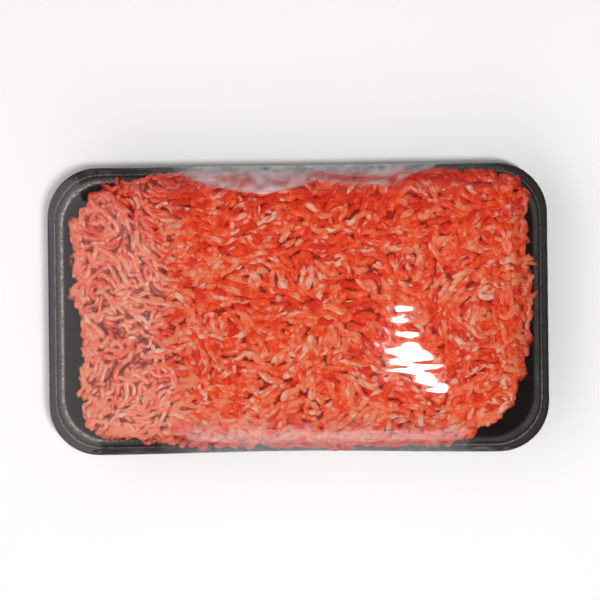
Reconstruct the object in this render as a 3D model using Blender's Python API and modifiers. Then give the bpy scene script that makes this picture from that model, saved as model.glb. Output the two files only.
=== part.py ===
"""A pack of minced beef: a black foam tray, heaped with mince and overwrapped in clear stretch film.

Metres, +Z up. The origin is under the middle of the pack, on the surface that it stands on.
+X runs along the tray, +Y across it, and the side at -Y is the front.

Tray, mince and film are drawn from one outline, a rounded rectangle that can be set in from the
tray's outer edge. A border of edges is extruded from outline to outline, from the middle of the
piece over its rim and back underneath.
"""

import math
from collections import namedtuple

import bmesh
import bpy
from mathutils import Vector, noise

# The film, at a thickness that a solid can carry, and the clearance that pieces keep.
FILM = 0.0004
GAP = 0.0003
FOOT = FILM + GAP

# The foam tray.
TRAY_LENGTH = 0.2242
TRAY_WIDTH = 0.1292
TRAY_HEIGHT = 0.0270
FLOOR_THICKNESS = 0.0030
RIM_CORNER = 0.0225
CORNER_TIGHTENING = 0.45
FRONT_WAIST = 0.0012
BACK_WAIST = 0.0003
RIM_Z = FOOT + TRAY_HEIGHT
FLOOR_Z = FOOT + FLOOR_THICKNESS

# The taut film over the heap. It falls away slowly at the left end and steeply at the other sides.
CROWN = 0.0120
FILM_SEAT = 0.0008
LEFT_FALL = 3.0
RIGHT_FALL = 6.0
SIDE_FALL = 8.0

# The mince.
MEAT_CLEARANCE = 0.0011
WALL_CLEARANCE = 0.0006
EDGE_PILE = 0.0034
SHOULDER = 0.10
ROPE_PITCH = 0.0110
ROPE_DEPTH = 0.0028
EDGE_BUMP = 0.0022
EDGE_BUMP_PITCH = 0.0075

# The tray's skin above, from the floor out to the lip: inset from the outer edge, and height.
UPPER_SKIN = (
    (0.0215, FLOOR_Z),
    (0.0186, FLOOR_Z + 0.0006),
    (0.0160, FLOOR_Z + 0.0026),
    (0.0125, FLOOR_Z + 0.0085),
    (0.0076, RIM_Z - 0.0036),
    (0.0066, RIM_Z - 0.0015),
    (0.0056, RIM_Z - 0.0010),
    (0.0043, RIM_Z - 0.0008),
    (0.0037, RIM_Z),
    (0.0014, RIM_Z),
    (0.0004, RIM_Z - 0.0005),
    (0.0, RIM_Z - 0.0015),
    (0.0, RIM_Z - 0.0036),
)
# Its skin below, from the lip back to the foot.
LOWER_SKIN = (
    (0.0009, RIM_Z - 0.0042),
    (0.0040, RIM_Z - 0.0036),
    (0.0050, RIM_Z - 0.0050),
    (0.0098, FOOT + 0.0112),
    (0.0140, FOOT + 0.0033),
    (0.0164, FOOT + 0.0008),
    (0.0190, FOOT),
)
# Where the mince's underside bends, from the flange that it lies on, down the wall to the floor.
HEAP_BED = (
    (0.0076, RIM_Z),
    (0.0125, FLOOR_Z + 0.0085),
    (0.0160, FLOOR_Z + 0.0026),
    (0.0215, FLOOR_Z),
)
# The film, from where it turns over the lip to where its last fold lies under the tray.
FILM_SIDE = (
    (-0.0004, RIM_Z - 0.0001),
    (-FOOT, RIM_Z - 0.0012),
    (-FOOT, RIM_Z - 0.0038),
    (0.0156, 0.0005),
    (0.0172, 0.0),
    (0.0450, 0.0),
)
# How far the heap's edge lies from the tray's outer edge, at bearings in degrees from +X.
HEAP_EDGE = (
    (0, 0.0072),
    (12, 0.0070),
    (21, 0.0098),
    (28, 0.0040),
    (40, 0.0024),
    (90, 0.0022),
    (135, 0.0030),
    (143, 0.0068),
    (152, 0.0140),
    (160, 0.0112),
    (174, 0.0106),
    (180, 0.0142),
    (196, 0.0160),
    (205, 0.0152),
    (210, 0.0088),
    (226, 0.0060),
    (240, 0.0028),
    (270, 0.0022),
    (312, 0.0024),
    (318, 0.0034),
    (325, 0.0130),
    (331, 0.0155),
    (338, 0.0150),
    (347, 0.0100),
    (355, 0.0078),
    (360, 0.0072),
)

CORNERS = ((-1, -1), (1, -1), (1, 1), (-1, 1))

Steps = namedtuple("Steps", "corner long short")
Station = namedtuple("Station", "first second share heading waist")

TRAY_STEPS = Steps(corner=4, long=5, short=3)
FILM_STEPS = Steps(corner=4, long=10, short=4)
MEAT_STEPS = Steps(corner=5, long=46, short=20)


def stations(steps):
    """The places around the outline, anticlockwise from the middle of the front left corner."""
    places = []
    turns = [45 * step / steps.corner for step in range(steps.corner)]
    waists = (FRONT_WAIST, 0.0, BACK_WAIST, 0.0)
    for side, waist in enumerate(waists):
        ahead = (side + 1) % 4
        heading = 270 + 90 * side
        straight = steps.short if side % 2 else steps.long
        places += [Station(side, side, 0.0, heading - 45 + turn, 0.0) for turn in turns]
        for step in range(straight):
            share = step / straight
            pinch = waist * math.sin(math.pi * share) ** 2
            places.append(Station(side, ahead, share, heading, pinch))
        places += [Station(ahead, ahead, 0.0, heading + turn, 0.0) for turn in turns]
    return places


def at_station(station, inset, height):
    """The point at a station, set in from the tray's outer edge."""
    radius = RIM_CORNER - CORNER_TIGHTENING * inset
    reach_x = TRAY_LENGTH / 2 - inset - radius
    reach_y = TRAY_WIDTH / 2 - inset - radius
    first, second = (
        Vector((CORNERS[corner][0] * reach_x, CORNERS[corner][1] * reach_y, height))
        for corner in (station.first, station.second)
    )
    heading = math.radians(station.heading)
    outward = Vector((math.cos(heading), math.sin(heading), 0.0))
    return first.lerp(second, station.share) + outward * (radius - station.waist)


def outline(inset, height, steps):
    """The whole outline, set in from the tray's outer edge."""
    return [at_station(station, inset, height) for station in stations(steps)]


def between(table, place):
    """A value from a table of places and values, with a smooth step from each to the next."""
    for (low, first), (high, second) in zip(table, table[1:]):
        if low <= place <= high:
            share = (place - low) / (high - low)
            share = share * share * (3 - 2 * share)
            return first + (second - first) * share
    return table[-1][1]


def skin_height(inset):
    """How high the tray's upper skin is at an inset from its outer edge."""
    for (far, low), (near, high) in zip(UPPER_SKIN, UPPER_SKIN[1:]):
        if near <= inset <= far:
            return low + (high - low) * (far - inset) / (far - near)
    return FLOOR_Z


def dome(x, y, margin=0.0):
    """How high the taut film is over the heap, less a margin kept below it."""
    lengthways = min(abs(x) / (TRAY_LENGTH / 2 - FILM_SEAT - margin), 1.0)
    sideways = min(abs(y) / (TRAY_WIDTH / 2 - FILM_SEAT - margin), 1.0)
    fall = LEFT_FALL if x < 0 else RIGHT_FALL
    rise = CROWN * (1 - lengthways**fall) * (1 - sideways**SIDE_FALL)
    return RIM_Z + FOOT + rise - margin


def grid_size(steps):
    """The columns and rows of a grid whose border has these steps."""
    return 2 * steps.corner + steps.long, 2 * steps.corner + steps.short


def net_inside(border, steps):
    """Points by column and row, spread smoothly inside a closed border of four sides."""
    columns, rows = grid_size(steps)
    front = border[: columns + 1]
    right = border[columns : columns + rows + 1]
    back = border[columns + rows : 2 * columns + rows + 1][::-1]
    left = (border[2 * columns + rows :] + border[:1])[::-1]
    net = {}
    for column in range(columns + 1):
        for row in range(rows + 1):
            u, v = column / columns, row / rows
            sides = front[column].lerp(back[column], v) + left[row].lerp(right[row], u)
            ends = front[0].lerp(front[-1], u).lerp(back[0].lerp(back[-1], u), v)
            net[column, row] = sides - ends
    return net


def border_number(column, row, columns, rows):
    """The station of a border point of a grid, or a number with no meaning for any other."""
    if row == 0:
        return column
    if column == columns:
        return columns + row
    if row == rows:
        return 2 * columns + rows - column
    return 2 * (columns + rows) - row


def lay_grid(shape, steps, net):
    """Lays a grid on a net of points. Returns its border, with each vertex's station marked."""
    columns, rows = grid_size(steps)
    bmesh.ops.create_grid(shape, x_segments=columns, y_segments=rows, size=0.5)
    mark = shape.verts.layers.int.new("station")
    for vert in shape.verts:
        column = round((vert.co.x + 0.5) * columns)
        row = round((vert.co.y + 0.5) * rows)
        vert[mark] = border_number(column, row, columns, rows)
        vert.co = net[column, row]
    return [edge for edge in shape.edges if edge.is_boundary]


def lay_polygon(shape, points):
    """Lays one flat face through points. Returns its border, with each vertex's station marked."""
    mark = shape.verts.layers.int.new("station")
    verts = [shape.verts.new(point) for point in points]
    for number, vert in enumerate(verts):
        vert[mark] = number
    return list(shape.faces.new(verts).edges)


def draw_out(shape, border, points):
    """Extrudes a closed border, and puts each new vertex on the point of its own station."""
    mark = shape.verts.layers.int["station"]
    made = bmesh.ops.extrude_edge_only(shape, edges=border)["geom"]
    new_verts = {item for item in made if isinstance(item, bmesh.types.BMVert)}
    for vert in new_verts:
        vert.co = points[vert[mark]]
    edges = [item for item in made if isinstance(item, bmesh.types.BMEdge)]
    return [edge for edge in edges if new_verts.issuperset(edge.verts)]


def cap(shape, border):
    """Closes a border with one face, and turns all the faces to point out of the body."""
    bmesh.ops.contextual_create(shape, geom=border)
    bmesh.ops.recalc_face_normals(shape, faces=shape.faces)
    if shape.calc_volume(signed=True) < 0:
        bmesh.ops.reverse_faces(shape, faces=shape.faces)


def add_object(shape, name, material, collection):
    """Makes an object of a bmesh, smooth wherever its faces meet gently."""
    mesh = bpy.data.meshes.new(name)
    shape.to_mesh(mesh)
    shape.free()
    mesh.shade_smooth()
    mesh.set_sharp_from_angle(angle=math.radians(50))
    mesh.materials.append(material)
    made = bpy.data.objects.new(name, mesh)
    collection.objects.link(made)
    return made


def surface(name, colour, roughness, alpha=1.0):
    """A Principled material of one colour."""
    material = bpy.data.materials.new(name)
    material.use_nodes = True
    shader = material.node_tree.nodes["Principled BSDF"]
    shader.inputs["Base Color"].default_value = (*colour, 1.0)
    shader.inputs["Roughness"].default_value = roughness
    shader.inputs["Metallic"].default_value = 0.0
    shader.inputs["Alpha"].default_value = alpha
    return material


def foam():
    """Black expanded polystyrene."""
    return surface("black_foam", (0.030, 0.024, 0.022), 0.55)


def beef():
    """Fresh minced beef."""
    return surface("minced_beef", (0.55, 0.085, 0.045), 0.40)


def stretch_film():
    """Clear stretch film."""
    return surface("stretch_film", (0.86, 0.88, 0.90), 0.08, alpha=0.15)


def make_tray(collection):
    """The tray, drawn out from its floor up the wall, over the flange and back to its foot."""
    shape = bmesh.new()
    border = lay_polygon(shape, outline(*UPPER_SKIN[0], TRAY_STEPS))
    for inset, height in UPPER_SKIN[1:] + LOWER_SKIN:
        border = draw_out(shape, border, outline(inset, height, TRAY_STEPS))
    cap(shape, border)
    add_object(shape, "tray", foam(), collection)


def heap_edge():
    """The uneven edge of the heap: each station, with the heap's inset there."""
    edge = []
    for station in stations(MEAT_STEPS):
        rim = at_station(station, 0.0, 0.0)
        bearing = math.degrees(math.atan2(rim.y, rim.x)) % 360
        bump = 0.5 + 0.5 * noise.noise(rim / EDGE_BUMP_PITCH + Vector((4.0, 2.0, 0.0)))
        edge.append((station, between(HEAP_EDGE, bearing) + EDGE_BUMP * bump))
    return edge


def ropes(x, y):
    """The relief of the mince's ropes, from 0 on a rope's back to 1 between ropes."""
    place = Vector((x, y, 0.0)) / ROPE_PITCH
    drift = noise.noise_vector(place * 0.28 + Vector((7.0, 1.0, 3.0)))
    furrow = abs(noise.noise(Vector((place.x * 0.62, place.y * 1.15, 0.0)) + drift))
    lump = 0.5 + 0.5 * noise.noise(place * 0.45 + Vector((2.0, 9.0, 5.0)))
    return 0.75 * (1 - min(furrow / 0.36, 1.0)) + 0.25 * lump


def heap_top(edge):
    """The heap's upper surface as a net of points, from its edge up over a round shoulder."""
    rims = []
    for station, inset in edge:
        rim = at_station(station, inset, skin_height(inset) + EDGE_PILE)
        rim.z = min(rim.z, dome(rim.x, rim.y, MEAT_CLEARANCE))
        rims.append(rim)
    net = net_inside(rims, MEAT_STEPS)
    columns, rows = grid_size(MEAT_STEPS)
    for (column, row), point in net.items():
        inward = min(min(column, columns - column) / columns, min(row, rows - row) / rows)
        climb = math.sqrt(1 - (1 - min(inward / SHOULDER, 1.0)) ** 2)
        relief = ROPE_DEPTH * ropes(point.x, point.y)
        top = dome(point.x, point.y, MEAT_CLEARANCE) - relief
        point.z += (top - point.z) * climb
    return net


def heap_underside(edge):
    """The outlines by which the heap's underside follows the flange and the wall to the floor."""
    outlines = []
    for ring, (bend, height) in enumerate(((0.0, RIM_Z),) + HEAP_BED, 1):
        points = []
        for station, inset in edge:
            own = inset + ring * WALL_CLEARANCE
            past = own > bend + WALL_CLEARANCE
            place = own if past else bend + WALL_CLEARANCE
            floor = skin_height(place - WALL_CLEARANCE) if past else height
            points.append(at_station(station, place, floor + GAP))
        outlines.append(points)
    return outlines


def make_mince(collection):
    """The heap of mince: its roped top, and an underside that lies in the tray."""
    edge = heap_edge()
    shape = bmesh.new()
    border = lay_grid(shape, MEAT_STEPS, heap_top(edge))
    for points in heap_underside(edge):
        border = draw_out(shape, border, points)
    cap(shape, border)
    add_object(shape, "mince", beef(), collection)


def make_film(collection):
    """The film: taut over the heap, down the sides to the foot, and folded under the tray."""
    net = net_inside(outline(FILM_SEAT, RIM_Z + FOOT, FILM_STEPS), FILM_STEPS)
    for point in net.values():
        point.z = dome(point.x, point.y)
    shape = bmesh.new()
    border = lay_grid(shape, FILM_STEPS, net)
    for inset, height in FILM_SIDE:
        border = draw_out(shape, border, outline(inset, height, FILM_STEPS))
    bmesh.ops.recalc_face_normals(shape, faces=shape.faces)
    film = add_object(shape, "film", stretch_film(), collection)
    thickness = film.modifiers.new("thickness", "SOLIDIFY")
    thickness.thickness = FILM
    thickness.offset = -1.0
    thickness.use_even_offset = True


def main():
    """Clears the scene and builds the pack."""
    for old in list(bpy.data.objects):
        bpy.data.objects.remove(old)
    pack = bpy.data.collections.new("minced_beef_pack")
    bpy.context.scene.collection.children.link(pack)
    make_tray(pack)
    make_mince(pack)
    make_film(pack)


main()
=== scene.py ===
"""The looks of a pack of minced beef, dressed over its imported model.

A black foam tray is heaped with strands of raw minced beef and overwrapped in taut, clear stretch
film. Metres throughout, +Z up, with the pack standing at the origin.
"""

import logging
import math
import random
from dataclasses import dataclass, field
from enum import Enum

import bmesh
import bpy
import numpy as np
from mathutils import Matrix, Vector, noise
from mathutils.bvhtree import BVHTree


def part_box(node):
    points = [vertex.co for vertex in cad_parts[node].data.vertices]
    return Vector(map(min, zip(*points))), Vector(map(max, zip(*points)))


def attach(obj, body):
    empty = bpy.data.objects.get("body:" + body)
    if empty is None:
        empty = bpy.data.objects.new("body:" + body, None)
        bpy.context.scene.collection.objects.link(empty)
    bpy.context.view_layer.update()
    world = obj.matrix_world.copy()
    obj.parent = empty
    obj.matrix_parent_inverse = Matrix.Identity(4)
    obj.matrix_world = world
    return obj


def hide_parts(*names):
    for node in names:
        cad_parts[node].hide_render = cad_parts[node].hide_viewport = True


MM = 0.001

log = logging.getLogger("minced_beef_pack")
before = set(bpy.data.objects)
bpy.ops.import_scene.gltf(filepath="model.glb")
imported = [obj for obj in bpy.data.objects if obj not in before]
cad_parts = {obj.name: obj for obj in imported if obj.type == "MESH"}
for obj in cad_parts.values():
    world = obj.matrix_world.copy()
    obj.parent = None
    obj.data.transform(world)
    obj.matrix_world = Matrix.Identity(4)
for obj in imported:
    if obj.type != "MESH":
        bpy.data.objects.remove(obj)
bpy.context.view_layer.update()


# ---------------------------------------------------------------------------- shared helpers


def linear(code: str) -> tuple[float, float, float, float]:
    """Turns an sRGB hex colour into a linear one.

    Args:
        code: Six hex digits, with or without a leading hash.

    Returns:
        Red, green and blue in linear light, and an alpha of 1.
    """
    digits = code.lstrip("#")
    parts = [int(digits[at : at + 2], 16) / 255 for at in (0, 2, 4)]
    red, green, blue = (
        part / 12.92 if part <= 0.04045 else ((part + 0.055) / 1.055) ** 2.4 for part in parts
    )
    return red, green, blue, 1.0


def add_node(
    tree: bpy.types.NodeTree,
    kind: str,
    settings: dict[str, object] | None = None,
    inputs: dict[str | int, object] | None = None,
) -> bpy.types.Node:
    """Adds a node to a tree, with its settings, and its inputs as values or links.

    Args:
        tree: The node tree to add to.
        kind: The node's type, such as ShaderNodeMath.
        settings: Attributes of the node itself.
        inputs: For each input's name or number, a value, or a socket to link from.

    Returns:
        The new node.
    """
    node = tree.nodes.new(kind)
    for name, value in (settings or {}).items():
        setattr(node, name, value)
    for name, value in (inputs or {}).items():
        if isinstance(value, bpy.types.NodeSocket):
            tree.links.new(value, node.inputs[name])
        else:
            node.inputs[name].default_value = value
    return node


def new_material(name: str) -> tuple[bpy.types.Material, bpy.types.NodeTree, bpy.types.Node]:
    """Makes an empty node material.

    Args:
        name: The material's name.

    Returns:
        The material, its node tree and its output node.
    """
    material = bpy.data.materials.new(name)
    material.use_nodes = True
    tree = material.node_tree
    tree.nodes.clear()
    output = add_node(tree, "ShaderNodeOutputMaterial")
    return material, tree, output


def add_piece(
    mesh: bpy.types.Mesh,
    name: str,
    material: bpy.types.Material,
    node: str,
) -> bpy.types.Object:
    """Makes a mesh a piece of the pack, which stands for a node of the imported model.

    Args:
        mesh: The piece's mesh, with its place in it.
        name: The piece's name.
        material: Its only material.
        node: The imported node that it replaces.

    Returns:
        The new object.
    """
    mesh.materials.clear()
    mesh.materials.append(material)
    mesh.shade_smooth()
    piece = bpy.data.objects.new(name, mesh)
    bpy.context.scene.collection.objects.link(piece)
    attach(piece, "root")
    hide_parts(node)
    log.info("%s: %d faces, for %s", name, len(mesh.polygons), node)
    return piece


def mesh_of(shape: bmesh.types.BMesh, name: str) -> bpy.types.Mesh:
    """Turns a bmesh into a mesh and frees it.

    Args:
        shape: The bmesh, which can't be used afterwards.
        name: The mesh's name.

    Returns:
        The new mesh.
    """
    mesh = bpy.data.meshes.new(name)
    shape.to_mesh(mesh)
    shape.free()
    return mesh


def positions(mesh: bpy.types.Mesh) -> np.ndarray:
    """The places of a mesh's points, as rows of x, y and z."""
    places = np.empty(len(mesh.vertices) * 3)
    mesh.vertices.foreach_get("co", places)
    return places.reshape(-1, 3)


def set_marks(mesh: bpy.types.Mesh, name: str, values: np.ndarray) -> None:
    """Gives each of a mesh's points a value that its finish can read.

    Args:
        mesh: The mesh.
        name: What the values are called.
        values: A number for each point, or a row of three.
    """
    kind, key = ("FLOAT_VECTOR", "vector") if values.ndim == 2 else ("FLOAT", "value")
    layer = mesh.attributes.new(name, kind, "POINT")
    layer.data.foreach_set(key, values.ravel())


def smooth_step(low: float, high: float, value: float | np.ndarray) -> float | np.ndarray:
    """A smooth rise from 0 where value is low to 1 where it is high."""
    share = np.clip((value - low) / (high - low), 0.0, 1.0)
    return share * share * (3 - 2 * share)


# ---------------------------------------------------------------------------- finishes


@dataclass(frozen=True)
class BlackFoam:
    """Black expanded polystyrene, moulded hot: beads a millimetre across under a satin skin."""

    skin: str = "#17120f"
    bead_edge: str = "#2a231f"
    # A pale colour for the ridges: partly wear, partly a painted highlight.
    worn_and_highlight_pale: str = "#d8cdc6"
    bead_size: float = 1.1 * MM
    roughness: float = 0.52

    def material(self) -> bpy.types.Material:
        """Builds the material.

        Returns:
            Each bead as a faint dimple with a paler seam, and the ridges pale and shiny in specks:
            partly worn by handling, partly a painted highlight along the bead and the ledge's edge.
        """
        material, tree, output = new_material("black_eps_foam_moulded")
        place = add_node(tree, "ShaderNodeTexCoord").outputs["Object"]
        wear_and_highlight = add_node(tree, "ShaderNodeAttribute", {"attribute_name": "wear_and_highlight"}).outputs["Fac"]
        beads = add_node(
            tree,
            "ShaderNodeTexVoronoi",
            {"feature": "DISTANCE_TO_EDGE"},
            {"Vector": place, "Scale": 1 / self.bead_size},
        )
        seam = add_node(
            tree,
            "ShaderNodeMapRange",
            inputs={0: beads.outputs["Distance"], 1: 0.0, 2: 0.16, 3: 1.0, 4: 0.0},
        )
        cloud = add_node(
            tree,
            "ShaderNodeTexNoise",
            inputs={"Vector": place, "Scale": 1 / (9 * MM), "Detail": 3.0},
        )
        share = add_node(
            tree,
            "ShaderNodeMath",
            {"operation": "MULTIPLY"},
            {0: seam.outputs[0], 1: cloud.outputs[0]},
        )
        skin = add_node(
            tree,
            "ShaderNodeMix",
            {"data_type": "RGBA"},
            {0: share.outputs[0], 6: linear(self.skin), 7: linear(self.bead_edge)},
        )
        specks = add_node(
            tree,
            "ShaderNodeTexNoise",
            inputs={"Vector": place, "Scale": 1 / (0.9 * MM), "Detail": 2.0},
        )
        speckle = add_node(
            tree,
            "ShaderNodeMapRange",
            inputs={0: specks.outputs[0], 1: 0.36, 2: 0.6, 3: 0.1, 4: 1.0},
        )
        # Painted highlight in part: pale specks along the marked edges stand both for rubbed skin and
        # for the highlight that these edges catch.
        speck_paleness = add_node(
            tree,
            "ShaderNodeMath",
            {"operation": "MULTIPLY", "use_clamp": True},
            {0: speckle.outputs[0], 1: wear_and_highlight},
        )
        colour = add_node(
            tree,
            "ShaderNodeMix",
            {"data_type": "RGBA"},
            {0: speck_paleness.outputs[0], 6: skin.outputs[2], 7: linear(self.worn_and_highlight_pale)},
        )
        rough = add_node(
            tree,
            "ShaderNodeMapRange",
            inputs={
                0: cloud.outputs[0],
                1: 0.3,
                2: 0.7,
                3: self.roughness - 0.06,
                4: self.roughness + 0.10,
            },
        )
        sheen = add_node(
            tree,
            "ShaderNodeMath",
            {"operation": "MULTIPLY_ADD"},
            {0: wear_and_highlight, 1: -0.2, 2: rough.outputs[0]},
        )
        dimples = add_node(
            tree,
            "ShaderNodeBump",
            inputs={"Strength": 0.5, "Distance": 0.12 * MM, "Height": beads.outputs["Distance"]},
        )
        shader = add_node(
            tree,
            "ShaderNodeBsdfPrincipled",
            inputs={
                "Base Color": colour.outputs[2],
                "Roughness": sheen.outputs[0],
                "Normal": dimples.outputs[0],
                "Specular IOR Level": 0.25,
            },
        )
        tree.links.new(shader.outputs[0], output.inputs[0])
        return material


@dataclass(frozen=True)
class RawMince:
    """Raw beef from a mincer: bright lean with cream fat smeared along each strand, and moist."""

    # A deep red that stands for painted shade in the gaps and on the strands' flanks.
    lean_in_painted_shade: str = "#a40e07"
    lean_dark: str = "#cf2810"
    lean: str = "#e6491e"
    lean_pale: str = "#e37f5b"
    fat: str = "#dab49b"
    fleck: float = 2.3 * MM
    roughness: float = 0.38
    shine: float = 0.35
    gleam: float = 0.4
    # How far the painted shade in the gaps goes towards the deep red.
    painted_gap_shade: float = 0.65

    def material(self, name: str) -> bpy.types.Material:
        """Builds the material.

        Args:
            name: The material's name.

        Returns:
            Lean in three tones by strand and by patch, with painted shade in the gaps and on the
            strands' flanks, where it goes towards a deep red, and with cream fat where the strand's
            own pattern, drawn out along its length, is strongest, but not in that painted shade. The
            pale mark lightens the lean as a painted film reflection and darkens it as painted shade.
        """
        material, tree, output = new_material(name)
        place = add_node(tree, "ShaderNodeTexCoord").outputs["Object"]
        marks = {
            mark: add_node(tree, "ShaderNodeAttribute", {"attribute_name": mark})
            for mark in ("grain", "tone", "fatness", "depth", "pale")
        }
        grain = marks["grain"].outputs["Vector"]
        patch = add_node(
            tree,
            "ShaderNodeTexNoise",
            inputs={"Vector": place, "Scale": 1 / (4.2 * MM), "Detail": 3.0, "Roughness": 0.68},
        )
        shade = add_node(
            tree,
            "ShaderNodeMath",
            {"operation": "MULTIPLY_ADD"},
            {0: marks["tone"].outputs["Fac"], 1: 0.42, 2: -0.21},
        )
        blended = add_node(
            tree,
            "ShaderNodeMath",
            {"operation": "ADD"},
            {0: patch.outputs[0], 1: shade.outputs[0]},
        )
        # The pale mark is painted light: it lightens the lean as a painted film reflection at the
        # front and left, and darkens it as painted shade at the back.
        pale = marks["pale"].outputs["Fac"]
        level = add_node(
            tree,
            "ShaderNodeMath",
            {"operation": "MULTIPLY_ADD"},
            {0: pale, 1: 0.12, 2: blended.outputs[0]},
        )
        lean = add_node(tree, "ShaderNodeValToRGB", inputs={0: level.outputs[0]})
        ramp = lean.color_ramp.elements
        ramp[0].position, ramp[0].color = 0.3, linear(self.lean_dark)
        ramp[1].position, ramp[1].color = 0.72, linear(self.lean_pale)
        ramp.new(0.5).color = linear(self.lean)
        marbling = add_node(
            tree,
            "ShaderNodeTexNoise",
            inputs={
                "Vector": grain,
                "Scale": 1 / self.fleck,
                "Detail": 1.5,
                "Roughness": 0.5,
                "Distortion": 0.2,
            },
        )
        cluster = add_node(
            tree,
            "ShaderNodeTexNoise",
            inputs={"Vector": place, "Scale": 1 / (9 * MM), "Detail": 1.0},
        )
        bias = add_node(
            tree,
            "ShaderNodeMath",
            {"operation": "MULTIPLY_ADD"},
            {0: cluster.outputs[0], 1: 0.25, 2: marks["fatness"].outputs["Fac"]},
        )
        # The same painted light also adds a little fat where it is paler and takes some away where it
        # is darker.
        richness = add_node(
            tree,
            "ShaderNodeMath",
            {"operation": "MULTIPLY_ADD"},
            {0: pale, 1: 0.035, 2: bias.outputs[0]},
        )
        strength = add_node(
            tree,
            "ShaderNodeMath",
            {"operation": "ADD"},
            {0: marbling.outputs[0], 1: richness.outputs[0]},
        )
        fat = add_node(
            tree,
            "ShaderNodeMapRange",
            {"interpolation_type": "SMOOTHSTEP"},
            {0: strength.outputs[0], 1: 0.66, 2: 0.92, 3: 0.0, 4: 0.9},
        )
        # Fat fades out where the painted shade is deep.
        bare = add_node(
            tree,
            "ShaderNodeMapRange",
            inputs={0: marks["depth"].outputs["Fac"], 1: 0.05, 2: 0.5, 3: 1.0, 4: 0.0},
        )
        shown = add_node(
            tree,
            "ShaderNodeMath",
            {"operation": "MULTIPLY"},
            {0: fat.outputs[0], 1: bare.outputs[0]},
        )
        marbled = add_node(
            tree,
            "ShaderNodeMix",
            {"data_type": "RGBA"},
            {0: shown.outputs[0], 6: lean.outputs[0], 7: linear(self.fat)},
        )
        # Painted shade: the depth mark mixes the colour towards a deep red in gaps and on strand
        # flanks.
        painted_gap_shade = add_node(
            tree,
            "ShaderNodeMath",
            {"operation": "MULTIPLY"},
            {0: marks["depth"].outputs["Fac"], 1: self.painted_gap_shade},
        )
        colour = add_node(
            tree,
            "ShaderNodeMix",
            {"data_type": "RGBA"},
            {0: painted_gap_shade.outputs[0], 6: marbled.outputs[2], 7: linear(self.lean_in_painted_shade)},
        )
        fibre = add_node(
            tree,
            "ShaderNodeTexNoise",
            inputs={"Vector": grain, "Scale": 1 / (1.3 * MM), "Detail": 2.0},
        )
        relief = add_node(
            tree,
            "ShaderNodeBump",
            inputs={"Strength": 0.25, "Distance": 0.2 * MM, "Height": fibre.outputs[0]},
        )
        rough = add_node(
            tree,
            "ShaderNodeMapRange",
            inputs={
                0: patch.outputs[0],
                1: 0.3,
                2: 0.7,
                3: self.roughness - 0.08,
                4: self.roughness + 0.12,
            },
        )
        shader = add_node(
            tree,
            "ShaderNodeBsdfPrincipled",
            {"subsurface_method": "BURLEY"},
            {
                "Base Color": colour.outputs[2],
                "Roughness": rough.outputs[0],
                "Normal": relief.outputs[0],
                "IOR": 1.38,
                "Specular IOR Level": self.gleam,
                "Subsurface Weight": 0.22,
                "Subsurface Radius": (1.0, 0.25, 0.12),
                "Subsurface Scale": 1.6 * MM,
                "Coat Weight": self.shine,
                "Coat Roughness": 0.17,
            },
        )
        tree.links.new(shader.outputs[0], output.inputs[0])
        return material


@dataclass(frozen=True)
class StretchFilm:
    """Clear PVC stretch film, cast and pulled taut: it shows only by what it mirrors, and goes
    faintly milky where it bunches."""

    mirror: float = 0.035
    glancing: float = 0.3
    milk: float = 0.38
    roughness: float = 0.035

    def material(self) -> bpy.types.Material:
        """Builds the material: a mirror that strengthens towards a glancing view, over nothing."""
        material, tree, output = new_material("pvc_stretch_film_cast")
        place = add_node(tree, "ShaderNodeTexCoord").outputs["Object"]
        slack = add_node(tree, "ShaderNodeAttribute", {"attribute_name": "slack"}).outputs["Fac"]
        glance = add_node(tree, "ShaderNodeLayerWeight", inputs={"Blend": 0.5})
        steep = add_node(
            tree,
            "ShaderNodeMath",
            {"operation": "POWER"},
            {0: glance.outputs["Facing"], 1: 5.0},
        )
        shine = add_node(
            tree,
            "ShaderNodeMath",
            {"operation": "MULTIPLY_ADD"},
            {0: steep.outputs[0], 1: self.glancing, 2: self.mirror},
        )
        haze = add_node(
            tree,
            "ShaderNodeMath",
            {"operation": "MULTIPLY_ADD"},
            {0: slack, 1: self.milk, 2: shine.outputs[0]},
        )
        rough = add_node(
            tree,
            "ShaderNodeMath",
            {"operation": "MULTIPLY_ADD", "use_clamp": True},
            {0: slack, 1: 0.55, 2: self.roughness},
        )
        across = add_node(
            tree,
            "ShaderNodeVectorMath",
            {"operation": "MULTIPLY"},
            {0: place, 1: (80.0, 900.0, 200.0)},
        )
        wrinkles = add_node(
            tree,
            "ShaderNodeTexNoise",
            inputs={"Vector": across.outputs[0], "Scale": 1.0, "Detail": 2.0},
        )
        along = add_node(
            tree,
            "ShaderNodeVectorMath",
            {"operation": "MULTIPLY"},
            {0: place, 1: (60.0, 330.0, 100.0)},
        )
        ripple = add_node(
            tree,
            "ShaderNodeTexNoise",
            inputs={"Vector": along.outputs[0], "Scale": 1.0, "Detail": 0.0},
        )
        faint = add_node(
            tree,
            "ShaderNodeMath",
            {"operation": "MULTIPLY"},
            {0: ripple.outputs[0], 1: 0.13},
        )
        pulled = add_node(
            tree,
            "ShaderNodeMath",
            {"operation": "MULTIPLY_ADD"},
            {0: wrinkles.outputs[0], 1: slack, 2: faint.outputs[0]},
        )
        relief = add_node(
            tree,
            "ShaderNodeBump",
            inputs={"Strength": 0.8, "Distance": 0.5 * MM, "Height": pulled.outputs[0]},
        )
        clear = add_node(tree, "ShaderNodeBsdfTransparent")
        mirror = add_node(
            tree,
            "ShaderNodeBsdfPrincipled",
            inputs={
                "Base Color": linear("#f3f3f6"),
                "Metallic": 0.85,
                "Roughness": rough.outputs[0],
                "Normal": relief.outputs[0],
            },
        )
        mix = add_node(
            tree,
            "ShaderNodeMixShader",
            inputs={0: haze.outputs[0], 1: clear.outputs[0], 2: mirror.outputs[0]},
        )
        tree.links.new(mix.outputs[0], output.inputs[0])
        return material


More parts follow.
